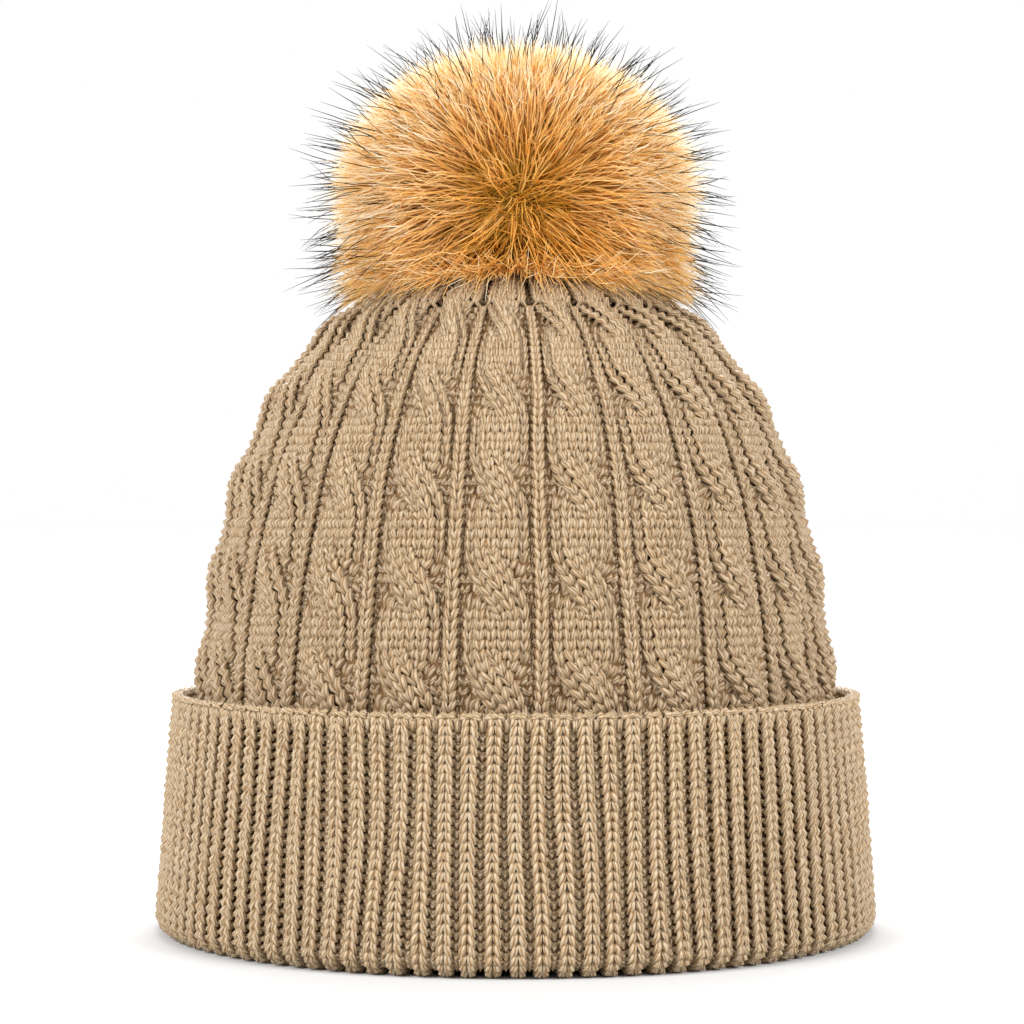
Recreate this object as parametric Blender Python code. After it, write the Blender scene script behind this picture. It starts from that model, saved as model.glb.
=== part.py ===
"""Pom pom beanie: cable-knit crown, ribbed band with a turn-up, fleece lining and a snap-on fur pom.

Frame: +Z up, the front faces -Y, the origin is under the crown's axis on the surface the hat stands on.
Lengths below are in millimetres; the mesh helpers turn them into metres.
"""

import math

import bmesh
import bpy
from mathutils import Vector

MM = 0.001
GAP = 0.6  # clearance between two layers of cloth
ROUND_STEPS = 48  # facets around the hat
SMALL_STEPS = 20  # facets around the snap's pieces

# Turn-up: the ply that shows, and the fold that the hat stands on
TURN_UP_HEIGHT = 65.6
TURN_UP_TOP_RADIUS = 94.9
TURN_UP_LOW_RADIUS = 99.2
TURN_UP_PLY = 4.6
FOLD_ROUND = 5.0
FOLD_HEIGHT = 5.2
FOLD_INNER_RADIUS = 88.2
FOLD_INNER_ROUND = 2.8

# Ribbed band behind the turn-up
BAND_LOW = FOLD_HEIGHT + 0.5
BAND_TOP = 60.0
BAND_LOW_RADIUS = 93.8
BAND_TOP_RADIUS = 89.4
BAND_PLY = 4.4

# Cable-knit crown: one cubic curve from the band's top to the gathered apex, as (radius, height)
CROWN_CURVE = ((88.8, 60.4), (83.2, 136.0), (63.6, 175.3), (12.0, 185.5))
CROWN_PLY = 4.2
CROWN_TOP_PLY = 3.4
CROWN_HOLE = 2.4
CROWN_POINTS = 13

# Fleece inside
EARBAND_LOW = 7.0
EARBAND_TOP = 44.0
EARBAND_PLY = 1.8
LINING_LOW = 44.6
LINING_PLY = 1.4
LINING_POINTS = 9
LINING_SEAM = 0.5  # half the gap between two panels, in degrees
PATCH_RADIUS = 19.0
PATCH_Z = (176.9, 178.1)

# Care label, sewn in at the back
LABEL_WIDTH = 30.0
LABEL_LENGTH = 34.0
LABEL_PLY = 0.6
LABEL_HINGE_Y = 81.7
LABEL_HINGE_Z = 43.4
LABEL_DROP = 0.4  # from the hinge line to the label's top edge
BARTACK_SIZE = (26.0, 0.8, 0.5)
BARTACK_Z = 44.35

# Crown fittings, from the inside out
CROWN_TOP = CROWN_CURVE[-1][1]
FELT_RADIUS = 11.0
FELT_Z = (181.0, 181.8)
POST_FLANGE_RADIUS = 6.0
POST_Z = (179.8, 180.7, 188.3)
POST_RADIUS = 2.0
STUD_HOLE = 2.3
STUD_FLANGE_RADIUS = 6.2
STUD_NECK_RADIUS = 2.9
STUD_HEAD_RADIUS = 3.4
STUD_Z = (CROWN_TOP + 0.3, CROWN_TOP + 1.1, CROWN_TOP + 2.1, CROWN_TOP + 3.9)
GATHER_RADIUS = 9.2
GATHER_WIRE = 0.7

# Pom side of the snap
SOCKET_RADIUS = 7.2
SOCKET_BORE = 3.7
SOCKET_GROOVE = 4.8
SOCKET_Z = (186.9, 187.2, 188.2, 190.0, 190.8)
RIVET_HOLE = 1.5
SPRING_RADIUS = 4.1
SPRING_WIRE = 0.3
SPRING_ARC = 320.0
BASE_DISC_RADIUS = 10.0
BASE_DISC_Z = (191.1, 192.3)
RIVET_RADIUS = 1.2
RIVET_HEAD_RADIUS = 5.5
RIVET_Z = (190.2, 192.6, 193.4)

# Pom
TILT_Z = 192.0
POM_RADIUS = 54.0
POM_CENTRE_Z = 204.0
POM_RISE = 42.0
POM_FALL = 18.0
POM_NAVEL = 8.5
POM_NAVEL_RADIUS = 36.0
POM_MOUTH = 11.2
HOLLOW_RADIUS = 40.0
HOLLOW_RISE = 28.0
HOLLOW_FALL = 8.0
STUFFING_GAP = 0.6
DRAWSTRING_RADIUS = 12.6
DRAWSTRING_WIRE = 0.6
DRAWSTRING_Z = 189.0
POM_STEPS = 36


def clear_scene():
    for item in list(bpy.data.objects):
        bpy.data.objects.remove(item, do_unlink=True)


def finish(name, color, roughness, metallic=0.0):
    """A plain finish: one Principled shader."""
    made = bpy.data.materials.new(name)
    made.use_nodes = True
    shader = made.node_tree.nodes["Principled BSDF"]
    shader.inputs["Base Color"].default_value = (*color, 1.0)
    shader.inputs["Roughness"].default_value = roughness
    shader.inputs["Metallic"].default_value = metallic
    return made


def keep(name, mesh_data, material, smooth_angle=40.0):
    """Write the bmesh to a named object with its faces pointing out."""
    bmesh.ops.remove_doubles(mesh_data, verts=mesh_data.verts, dist=1e-6)
    bmesh.ops.recalc_face_normals(mesh_data, faces=mesh_data.faces)
    mesh = bpy.data.meshes.new(name)
    mesh_data.to_mesh(mesh)
    mesh_data.free()
    mesh.materials.append(material)
    mesh.shade_smooth()
    mesh.set_sharp_from_angle(angle=math.radians(smooth_angle))
    made = bpy.data.objects.new(name, mesh)
    bpy.context.scene.collection.objects.link(made)
    return made


def turned(name, outline, material, steps=ROUND_STEPS, start=0.0, sweep=360.0):
    """Turn a closed (radius, height) outline about the Z axis; a part turn gets flat ends."""
    mesh_data = bmesh.new()
    corner = math.radians(start)
    points = [
        mesh_data.verts.new((r * MM * math.cos(corner), r * MM * math.sin(corner), z * MM))
        for r, z in outline
    ]
    edges = [mesh_data.edges.new((a, b)) for a, b in zip(points, points[1:] + points[:1])]
    whole = sweep >= 360.0
    bmesh.ops.spin(
        mesh_data,
        geom=points + edges,
        cent=(0, 0, 0),
        axis=(0, 0, 1),
        angle=math.radians(sweep),
        steps=steps,
        use_merge=whole,
    )
    if not whole:
        rims = [edge for edge in mesh_data.edges if edge.is_boundary]
        bmesh.ops.edgeloop_fill(mesh_data, edges=rims)
    return keep(name, mesh_data, material)


def turned_on_axis(name, outline, material, steps=ROUND_STEPS):
    """Turn an open outline whose first and last points lie on the axis."""
    mesh_data = bmesh.new()
    points = [mesh_data.verts.new((r * MM, 0, z * MM)) for r, z in outline]
    edges = [mesh_data.edges.new((a, b)) for a, b in zip(points, points[1:])]
    bmesh.ops.spin(
        mesh_data,
        geom=points + edges,
        cent=(0, 0, 0),
        axis=(0, 0, 1),
        angle=math.tau,
        steps=steps,
        use_merge=True,
    )
    return keep(name, mesh_data, material)


def slab(name, size, centre, bevel, material, place=(0, 0, 0)):
    """A block with rounded edges, made about its own origin and placed by its location."""
    mesh_data = bmesh.new()
    bmesh.ops.create_cube(mesh_data, size=MM)
    bmesh.ops.scale(mesh_data, vec=size, verts=mesh_data.verts)
    bmesh.ops.translate(mesh_data, vec=[c * MM for c in centre], verts=mesh_data.verts)
    bmesh.ops.bevel(
        mesh_data,
        geom=list(mesh_data.edges),
        offset=bevel * MM,
        segments=1,
        profile=0.5,
        affect="EDGES",
        material=-1,
    )
    made = keep(name, mesh_data, material)
    made.location = [p * MM for p in place]
    return made


def arc(centre_r, centre_z, radius, start, end, points):
    """Points on a round stretch of an outline, angles in degrees from +R towards +Z."""
    turns = [math.radians(start + (end - start) * k / (points - 1)) for k in range(points)]
    return [(centre_r + radius * math.cos(a), centre_z + radius * math.sin(a)) for a in turns]


def wire_outline(radius, centre_z, wire, points=8):
    """The round section of a thread or spring wire."""
    return arc(radius, centre_z, wire, 0.0, 360.0 * (points - 1) / points, points)


def washer_outline(inner, outer, low, high):
    return [(outer, low), (outer, high), (inner, high), (inner, low)]


def along(a, b, share):
    return a + (b - a) * share


def crown_point(t, depth=0.0):
    """A point of the crown's curve, set in by a depth along the curve's normal."""
    p0, p1, p2, p3 = (Vector(p) for p in CROWN_CURVE)
    u = 1.0 - t
    spot = u**3 * p0 + 3 * u * u * t * p1 + 3 * u * t * t * p2 + t**3 * p3
    slope = u * u * (p1 - p0) + 2 * u * t * (p2 - p1) + t * t * (p3 - p2)
    slope.normalize()
    return (spot.x - slope.y * depth, spot.y + slope.x * depth)


def band_radius(z):
    return along(BAND_LOW_RADIUS, BAND_TOP_RADIUS, (z - BAND_LOW) / (BAND_TOP - BAND_LOW))


def crown_shell(material):
    """The cable-knit tube from the band to the gathered top, with the stud's hole at the apex."""
    shares = [k / (CROWN_POINTS - 1) for k in range(CROWN_POINTS)]
    outer = [crown_point(t) for t in shares]
    inner = [crown_point(t, along(CROWN_PLY, CROWN_TOP_PLY, t)) for t in reversed(shares)]
    top = [(CROWN_HOLE, CROWN_TOP), (CROWN_HOLE, CROWN_TOP - CROWN_TOP_PLY)]
    return turned("cable_knit_crown", outer + top + inner, material)


def turn_up_outline():
    """A hook in section: foot fold, outer ply and rounded top edge."""
    half = TURN_UP_PLY / 2
    edge_z = TURN_UP_HEIGHT - half
    inner_low = TURN_UP_LOW_RADIUS - TURN_UP_PLY
    foot = arc(TURN_UP_LOW_RADIUS - FOLD_ROUND, FOLD_ROUND, FOLD_ROUND, -90.0, 0.0, 5)
    top = arc(TURN_UP_TOP_RADIUS - half, edge_z, half, 0.0, 180.0, 6)
    heel = arc(
        FOLD_INNER_RADIUS + FOLD_INNER_ROUND, FOLD_INNER_ROUND, FOLD_INNER_ROUND, 180.0, 270.0, 4
    )
    inside = [(inner_low, FOLD_HEIGHT + half), (inner_low, FOLD_HEIGHT), (FOLD_INNER_RADIUS, FOLD_HEIGHT)]
    return foot + top + inside + heel


def rib_pieces(material):
    turned("rib_turn_up", turn_up_outline(), material)
    low, high = band_radius(BAND_LOW), band_radius(BAND_TOP)
    outline = [(low, BAND_LOW), (high, BAND_TOP), (high - BAND_PLY, BAND_TOP), (low - BAND_PLY, BAND_LOW)]
    turned("rib_band", outline, material)


def lining_wall(z, depth):
    """Radius of a fleece layer against the ribbed band."""
    return band_radius(z) - BAND_PLY - GAP - depth


def earband(material):
    low, high = lining_wall(EARBAND_LOW, 0.0), lining_wall(EARBAND_TOP, 0.0)
    middle = (EARBAND_LOW + EARBAND_TOP) / 2
    belly = lining_wall(middle, EARBAND_PLY)
    outline = [
        (low, EARBAND_LOW),
        (high, EARBAND_TOP),
        (high - EARBAND_PLY, EARBAND_TOP),
        (belly, middle),
        (low - EARBAND_PLY, EARBAND_LOW),
    ]
    turned("fleece_earband", outline, material)


def lining_panels(material):
    """Four gores, each a quarter of the crown's inside."""
    shares = [0.92 * k / (LINING_POINTS - 1) for k in range(LINING_POINTS)]
    knit = CROWN_PLY + GAP
    outer = [(lining_wall(LINING_LOW, 0.0), LINING_LOW)] + [crown_point(t, knit) for t in shares]
    inner = [crown_point(t, knit + LINING_PLY) for t in reversed(shares)]
    inner.append((lining_wall(LINING_LOW, LINING_PLY), LINING_LOW))
    quarter = 360.0 / 4
    for index, place in enumerate(("back_right", "back_left", "front_left", "front_right")):
        turned(
            f"lining_{place}",
            outer + inner,
            material,
            steps=ROUND_STEPS // 4,
            start=quarter * index + LINING_SEAM,
            sweep=quarter - 2 * LINING_SEAM,
        )


def crown_fittings(fleece, felt, thread, brass):
    """What sits inside and outside the apex and carries the snap's stud."""
    turned_on_axis("lining_top_patch", disc_outline(PATCH_RADIUS, *PATCH_Z), fleece, steps=32)
    turned("crown_felt_disc", washer_outline(CROWN_HOLE, FELT_RADIUS, *FELT_Z), felt, steps=32)
    low, flange_top, high = POST_Z
    post = [
        (0, low),
        (POST_FLANGE_RADIUS, low),
        (POST_FLANGE_RADIUS, flange_top),
        (POST_RADIUS, flange_top),
        (POST_RADIUS, high),
        (0, high),
    ]
    turned_on_axis("snap_post", post, brass, steps=SMALL_STEPS)
    low, flange_top, neck_top, high = STUD_Z
    stud = [
        (STUD_HOLE, low),
        (STUD_FLANGE_RADIUS, low),
        (STUD_FLANGE_RADIUS, flange_top),
        (STUD_NECK_RADIUS, flange_top),
        (STUD_HEAD_RADIUS, neck_top),
        (STUD_HEAD_RADIUS, high - 0.6),
        (STUD_NECK_RADIUS, high),
        (STUD_HOLE, high),
    ]
    turned("snap_stud", stud, brass, steps=SMALL_STEPS)
    ring = wire_outline(GATHER_RADIUS, CROWN_TOP + 0.3 + GATHER_WIRE, GATHER_WIRE, 6)
    turned("crown_gather_thread", ring, thread, steps=28)


def disc_outline(radius, low, high):
    return [(0, low), (radius, low), (radius, high), (0, high)]


def snap_pom_side(brass, steel, felt):
    """Socket with its ring spring, the felt base disc and the rivet cap that holds them together."""
    low, groove_low, groove_high, ceiling, high = SOCKET_Z
    socket = [
        (SOCKET_BORE, low),
        (SOCKET_RADIUS, low),
        (SOCKET_RADIUS, high - 0.5),
        (SOCKET_RADIUS - 0.5, high),
        (RIVET_HOLE, high),
        (RIVET_HOLE, ceiling),
        (SOCKET_BORE, ceiling),
        (SOCKET_BORE, groove_high),
        (SOCKET_GROOVE, groove_high),
        (SOCKET_GROOVE, groove_low),
        (SOCKET_BORE, groove_low),
    ]
    turned("snap_socket", socket, brass, steps=SMALL_STEPS)
    spring_z = (groove_low + groove_high) / 2
    turned(
        "socket_spring",
        wire_outline(SPRING_RADIUS, spring_z, SPRING_WIRE, 6),
        steel,
        steps=SMALL_STEPS,
        start=(360.0 - SPRING_ARC) / 2,
        sweep=SPRING_ARC,
    )
    turned("pom_base_disc", washer_outline(RIVET_HOLE, BASE_DISC_RADIUS, *BASE_DISC_Z), felt, steps=28)
    low, head_low, high = RIVET_Z
    rivet = [
        (0, low),
        (RIVET_RADIUS, low),
        (RIVET_RADIUS, head_low),
        (RIVET_HEAD_RADIUS, head_low),
        (RIVET_HEAD_RADIUS - 0.4, high),
        (0, high),
    ]
    turned_on_axis("snap_rivet_cap", rivet, brass, steps=SMALL_STEPS)


def egg(radius, rise, fall, start, end, points, navel=0.0):
    """Half an oval in section about the pom's centre, with its underside drawn in at the navel.

    Angles are in degrees from straight down; heights are counted from the tilt axis.
    """
    made = []
    for k in range(points):
        turn = math.radians(along(start, end, k / (points - 1)))
        across = radius * math.sin(turn)
        height = POM_CENTRE_Z - TILT_Z
        if turn < math.pi / 2:
            height -= fall * math.cos(turn)
            height += navel * max(0.0, 1.0 - across / POM_NAVEL_RADIUS) ** 2
        else:
            height -= rise * math.cos(turn)
        made.append((across, height))
    return made


def pom_pieces(fur, filling, thread):
    """Fur cover open at its mouth, the filling, and the drawn thread, all hung on the tilt axis."""
    axis = bpy.data.objects.new("pom_tilt_axis", None)
    axis.location = (0, 0, TILT_Z * MM)
    bpy.context.scene.collection.objects.link(axis)
    mouth = math.degrees(math.asin(POM_MOUTH / POM_RADIUS))
    outer = egg(POM_RADIUS, POM_RISE, POM_FALL, mouth, 180.0, 14, POM_NAVEL)
    inner_mouth = math.degrees(math.asin(POM_MOUTH / HOLLOW_RADIUS))
    inner = egg(HOLLOW_RADIUS, HOLLOW_RISE, HOLLOW_FALL, inner_mouth, 180.0, 11)
    cover = closed_with_pole("pom_fur_cover", outer, inner, fur)
    ball = egg(
        HOLLOW_RADIUS - STUFFING_GAP,
        HOLLOW_RISE - STUFFING_GAP,
        HOLLOW_FALL - STUFFING_GAP,
        0.0,
        180.0,
        11,
    )
    stuffing = turned_on_axis("pom_stuffing", ball, filling, steps=28)
    ring = wire_outline(DRAWSTRING_RADIUS, DRAWSTRING_Z - TILT_Z, DRAWSTRING_WIRE, 6)
    string = turned("pom_drawstring", ring, thread, steps=28)
    for piece in (cover, stuffing, string):
        piece.parent = axis


def closed_with_pole(name, outer, inner, material):
    """A shell turned from an outer and an inner line that both end on the axis at the top."""
    mesh_data = bmesh.new()
    outer = [mesh_data.verts.new((r * MM, 0, z * MM)) for r, z in outer]
    inner = [mesh_data.verts.new((r * MM, 0, z * MM)) for r, z in inner]
    edges = [mesh_data.edges.new(pair) for line in (outer, inner) for pair in zip(line, line[1:])]
    edges.append(mesh_data.edges.new((inner[0], outer[0])))
    bmesh.ops.spin(
        mesh_data,
        geom=outer + inner + edges,
        cent=(0, 0, 0),
        axis=(0, 0, 1),
        angle=math.tau,
        steps=POM_STEPS,
        use_merge=True,
    )
    return keep(name, mesh_data, material, smooth_angle=60.0)


def label_pieces(satin, thread):
    """The folded care label hangs from the bar of stitches above it."""
    hang = -(LABEL_DROP + LABEL_LENGTH / 2)
    slab(
        "care_label",
        (LABEL_WIDTH, LABEL_PLY, LABEL_LENGTH),
        (0, 0, hang),
        0.15,
        satin,
        (0, LABEL_HINGE_Y, LABEL_HINGE_Z),
    )
    slab("label_bartack", BARTACK_SIZE, (0, 0, 0), 0.12, thread, (0, LABEL_HINGE_Y + 0.3, BARTACK_Z))


def main():
    clear_scene()
    knit = finish("beige_acrylic_knit", (0.47, 0.33, 0.19), 0.85)
    fleece = finish("cream_fleece", (0.70, 0.62, 0.50), 0.95)
    felt = finish("tan_felt", (0.40, 0.28, 0.16), 0.95)
    thread = finish("polyester_thread", (0.38, 0.26, 0.15), 0.6)
    brass = finish("nickel_plated_brass", (0.75, 0.73, 0.69), 0.28, 1.0)
    steel = finish("spring_steel", (0.6, 0.6, 0.62), 0.3, 1.0)
    fur = finish("golden_faux_fur", (0.72, 0.40, 0.12), 0.9)
    filling = finish("polyester_fibrefill", (0.85, 0.85, 0.83), 0.95)
    satin = finish("white_satin_tape", (0.86, 0.85, 0.82), 0.45)
    crown_shell(knit)
    rib_pieces(knit)
    earband(fleece)
    lining_panels(fleece)
    crown_fittings(fleece, felt, thread, brass)
    snap_pom_side(brass, steel, felt)
    pom_pieces(fur, filling, thread)
    label_pieces(satin, thread)


main()
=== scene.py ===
"""Pom pom beanie, made loop by loop: every course of the knit is one yarn that runs around the hat.

Lengths are in metres. The hat's axis is Z, its front faces -Y, and the surface it stands on is z = 0.
"""

import math

import bmesh
import bpy
import numpy as np
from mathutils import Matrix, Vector


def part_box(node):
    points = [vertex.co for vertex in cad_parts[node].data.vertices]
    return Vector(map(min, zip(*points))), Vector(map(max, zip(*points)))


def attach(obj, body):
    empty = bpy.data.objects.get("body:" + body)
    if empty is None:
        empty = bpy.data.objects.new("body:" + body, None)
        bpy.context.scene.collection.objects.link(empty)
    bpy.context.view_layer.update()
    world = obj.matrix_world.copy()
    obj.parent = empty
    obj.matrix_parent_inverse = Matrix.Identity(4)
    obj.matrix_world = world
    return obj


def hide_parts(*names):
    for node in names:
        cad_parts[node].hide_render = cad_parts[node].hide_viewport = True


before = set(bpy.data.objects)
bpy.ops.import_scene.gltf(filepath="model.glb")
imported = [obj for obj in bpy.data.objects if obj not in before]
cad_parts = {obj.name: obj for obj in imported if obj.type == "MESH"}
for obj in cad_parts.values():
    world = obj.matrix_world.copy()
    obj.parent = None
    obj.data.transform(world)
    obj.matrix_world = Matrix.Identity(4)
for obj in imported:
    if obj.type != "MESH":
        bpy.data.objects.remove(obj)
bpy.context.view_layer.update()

MM = 0.001
rng = np.random.default_rng(7)

# ---------------------------------------------------------------- places from the frame

crown_low, crown_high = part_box("cable_knit_crown")
cuff_low, cuff_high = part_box("rib_turn_up")
pom_low, pom_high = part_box("pom_fur_cover")
stuffing_low, stuffing_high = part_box("pom_stuffing")
band_low, band_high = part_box("rib_band")
earband_low, earband_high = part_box("fleece_earband")
gore_low, gore_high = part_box("lining_back_right")
patch_low, patch_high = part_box("lining_top_patch")
label_low, label_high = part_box("care_label")
tack_low, tack_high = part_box("label_bartack")
stud_low, stud_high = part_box("snap_stud")
felt_low, felt_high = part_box("crown_felt_disc")
base_low, base_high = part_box("pom_base_disc")
gather_low, gather_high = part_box("crown_gather_thread")
drawn_low, drawn_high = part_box("pom_drawstring")

# ---------------------------------------------------------------- the knit's own sizes

YARN_SIDES = 4  # few, because the yarn makes thousands of loops
YARN_SPREAD = 1.08  # makes a four-sided section as thick as a round yarn
ROUGHNESS = 0.07 * MM  # how far a point of the yarn strays from its place

CABLE_REPEATS = 23  # cables around the crown
CROWN_COURSE = 2.58 * MM  # height of one course
CROWN_START = 3.0 * MM  # along the profile, which begins 6 mm below the band's top
CROWN_YARN = 0.82 * MM  # yarn radius
CROWN_LOOP_RISE = 1.80 * MM
CROWN_LOOP_DEPTH = 0.84 * MM
CROWN_LEAN = 0.25  # how far a loop's legs lean apart
CROWN_SINK = 0.3 * MM  # keeps the thickest loops inside the crown's own surface
FULL_GIRTH = 85.0 * MM  # radius where the stitches have their natural width

RIB_WIDTH = 0.135  # widths in shares of one repeat
PURL_WIDTH = 0.070
CABLE_WALE = (1.0 - RIB_WIDTH - 2 * PURL_WIDTH) / 6
CABLE_START = RIB_WIDTH / 2 + PURL_WIDTH
CROSSING_COURSES = 10  # courses from one crossing to the next
FIRST_CROSSING = 5.6  # in courses from the first one
FRONT_SLANT = 3.7  # courses either side of a crossing over which the front strand slants
BACK_SLANT = 2.8
FRONT_SPREAD = 0.06  # how much wider the front strand's stitches get there
FRONT_LIFT = 1.25 * MM
BACK_LIFT = -2.0 * MM
CABLE_ROUND = 2.4 * MM  # how far the cable's sides fall away
PURL_DEPTH = -2.9 * MM
RIB_PHASE = math.radians(4.3)  # the rib column nearest the front

BAND_TOP_RADIUS = 89.4 * MM
INNER_TOP_RADIUS = 85.7 * MM  # the fleece's outer face at the ear band's top

CUFF_RIBS = 102
CUFF_COURSES = 36  # from the top edge over the fold and up inside
CUFF_ASPECT = 2.6  # a rib's width in courses
CUFF_YARN = 0.84 * MM
CUFF_LOOP_RISE = 0.80  # in courses
CUFF_LOOP_DEPTH = 0.70 * MM
CUFF_LEAN = 0.26
CUFF_WANDER = 0.20 * MM  # how far a rib drifts sideways
RIM_LEVEL = 2.9  # the course at the very top of the edge
RIM_SINK = 0.5 * MM

POM_CENTRE = np.array([0.0, 0.0, 201.0 * MM])
POM_SIDE = pom_high.x
POM_UP = pom_high.z - POM_CENTRE[2]
POM_DOWN = 50.0 * MM
FUR_SPAN = 1.3  # the colour ramps reach to this share of the pile's radius
FUR_GLOW = 0.68  # share of the light that passes through the fibre

# ---------------------------------------------------------------- small helpers


def mix(a, b, share):
    return a + (b - a) * share


def ease(x):
    x = np.clip(x, 0.0, 1.0)
    return x * x * (3 - 2 * x)


def hump(x):
    return np.clip(1.0 - x * x, 0.0, 1.0) ** 2


def linear(code):
    """An sRGB hex colour as a linear RGBA tuple."""
    parts = [int(code[k : k + 2], 16) / 255 for k in (1, 3, 5)]
    return tuple(c / 12.92 if c <= 0.04045 else ((c + 0.055) / 1.055) ** 2.4 for c in parts) + (1.0,)


class Profile:
    """A line in section (radius, height) that can be read at any length along it."""

    def __init__(self, points, outward):
        line = np.array(points, float)
        steps = np.hypot(*np.diff(line, axis=0).T)
        self.length = np.concatenate([[0.0], np.cumsum(steps)])
        slope = np.gradient(line, self.length, axis=0)
        slope /= np.linalg.norm(slope, axis=1)[:, None]
        self.line = line
        self.normal = np.stack([slope[:, 1], -slope[:, 0]], axis=1) * outward

    def at(self, s, depth=0.0):
        """Radius and height at length s, moved out by depth."""
        r, z, nr, nz = (np.interp(s, self.length, c) for c in (*self.line.T, *self.normal.T))
        return r + nr * depth, z + nz * depth


def arc(centre, radius, start, end, count=24):
    turn = np.radians(np.linspace(start, end, count))
    return [(centre[0] + radius * math.cos(a), centre[1] + radius * math.sin(a)) for a in turn]


def on_hat(profile, angle, s, depth):
    """Points in space for angles around the hat, lengths along the profile and depths."""
    r, z = profile.at(s, depth)
    return np.stack([r * np.sin(angle), -r * np.cos(angle), z], axis=-1)


# ---------------------------------------------------------------- the hat's two profiles


def crown_profile():
    foot = np.array([crown_high.x, crown_low.z])
    tip = np.array([12.0 * MM, crown_high.z])
    pull_low = np.array([83.2 * MM, 136.0 * MM])
    pull_high = np.array([63.6 * MM, 175.3 * MM])
    t = np.linspace(0, 1, 160)[:, None]
    u = 1 - t
    curve = u**3 * foot + 3 * u * u * t * pull_low + 3 * u * t * t * pull_high + t**3 * tip
    lead = foot + np.array([0.4 * MM, -6 * MM])
    middle = np.array([3.5 * MM, crown_high.z - 0.3 * MM])
    return Profile([lead, *curve, middle], 1.0)


def cuff_profile():
    """From the top edge's inner side over the edge, down the outside, under the fold and up inside."""
    outer = cuff_high.x
    top_r = outer - 4.3 * MM
    edge = 2.3 * MM
    fold = 5.0 * MM
    heel = 2.8 * MM
    inner = 88.2 * MM
    top_z = cuff_high.z - edge
    points = [(top_r - 2 * edge, top_z - 2.5 * MM)]
    points += arc((top_r - edge, top_z), edge, 180, 0)
    points += arc((outer - fold, fold), fold, 0, -90)
    points += arc((inner + heel, heel), heel, 270, 180)
    points.append((inner + 0.8 * MM, 7.5 * MM))
    dense = []
    for a, b in zip(points, points[1:]):
        count = max(2, int(math.dist(a, b) / (1.2 * MM)))
        dense += [(mix(a[0], b[0], k / count), mix(a[1], b[1], k / count)) for k in range(count)]
    dense.append(points[-1])
    return Profile(dense, -1.0)


crown_line = crown_profile()
cuff_line = cuff_profile()

# ---------------------------------------------------------------- yarn and hair as tubes


def section_of(sides):
    """The cross-section of a yarn or a hair: a small polygon of radius 1."""
    data = bpy.data.curves.new("section", "CURVE")
    data.dimensions = "2D"
    spline = data.splines.new("POLY")
    spline.points.add(sides - 1)
    for k, point in enumerate(spline.points):
        turn = math.tau * k / sides
        point.co = (math.cos(turn), math.sin(turn), 0.0, 1.0)
    spline.use_cyclic_u = True
    return bpy.data.objects.new("section", data)


def tubes(name, lines, radii, sides, closed, material):
    """One mesh of many tubes. lines is a list of (n, 3) arrays, radii a number or an array for each."""
    data = bpy.data.curves.new(name, "CURVE")
    data.dimensions = "3D"
    data.bevel_mode = "OBJECT"
    data.bevel_object = section_of(sides)
    data.use_fill_caps = not closed
    for line, radius in zip(lines, radii):
        spline = data.splines.new("POLY")
        spline.points.add(len(line) - 1)
        spline.points.foreach_set("co", np.c_[line, np.ones(len(line))].astype(np.float32).ravel())
        spline.points.foreach_set("radius", np.broadcast_to(radius, len(line)).astype(np.float32))
        spline.use_cyclic_u = closed
        spline.use_smooth = True
    drawn = bpy.data.objects.new(name, data)
    bpy.context.scene.collection.objects.link(drawn)
    graph = bpy.context.evaluated_depsgraph_get()
    mesh = bpy.data.meshes.new_from_object(drawn.evaluated_get(graph))
    profile = data.bevel_object
    bpy.data.objects.remove(drawn)
    bpy.data.objects.remove(profile)
    return shown(name, mesh, material)


def shown(name, mesh, material):
    mesh.name = name
    mesh.materials.clear()
    mesh.materials.append(material)
    made = bpy.data.objects.new(name, mesh)
    bpy.context.scene.collection.objects.link(made)
    return made


def finished(name, shape, material):
    """Show an edit mesh as a smooth piece."""
    mesh = bpy.data.meshes.new(name)
    shape.to_mesh(mesh)
    shape.free()
    mesh.shade_smooth()
    return shown(name, mesh, material)


def course_pieces(name, lines, radii, group, material):
    """Many courses as a few meshes, each of a group of courses."""
    made = []
    for k, first in enumerate(range(0, len(lines), group)):
        chosen = slice(first, first + group)
        made.append(tubes(f"{name}_{k + 1}", lines[chosen], radii[chosen], YARN_SIDES, True, material))
    return made


def turned(name, outline, material, steps=192):
    """Turn a closed outline of (radius, height) about the hat's axis."""
    shape = bmesh.new()
    points = [shape.verts.new((r, 0.0, z)) for r, z in outline]
    edges = [shape.edges.new(pair) for pair in zip(points, points[1:] + points[:1])]
    bmesh.ops.spin(
        shape,
        geom=points + edges,
        cent=(0, 0, 0),
        axis=(0, 0, 1),
        angle=math.tau,
        steps=steps,
        use_merge=True,
    )
    bmesh.ops.recalc_face_normals(shape, faces=shape.faces)
    return finished(name, shape, material)


# ---------------------------------------------------------------- materials


def add(tree, kind, inputs=None, **settings):
    """One shader node with its settings; an input is a value or another node's socket."""
    made = tree.nodes.new(kind)
    for key, value in settings.items():
        setattr(made, key, value)
    for key, value in (inputs or {}).items():
        if isinstance(value, bpy.types.NodeSocket):
            tree.links.new(value, made.inputs[key])
        else:
            made.inputs[key].default_value = value
    return made


def new_material(name, **shader_values):
    made = bpy.data.materials.new(name)
    made.use_nodes = True
    tree = made.node_tree
    shader = tree.nodes["Principled BSDF"]
    for key, value in shader_values.items():
        shader.inputs[key.replace("_", " ")].default_value = value
    return made, tree, shader


def object_place(tree):
    return add(tree, "ShaderNodeTexCoord").outputs["Object"]


def axes(tree, vector):
    """The three parts of a place."""
    return add(tree, "ShaderNodeSeparateXYZ", {"Vector": vector}).outputs[:]


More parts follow.
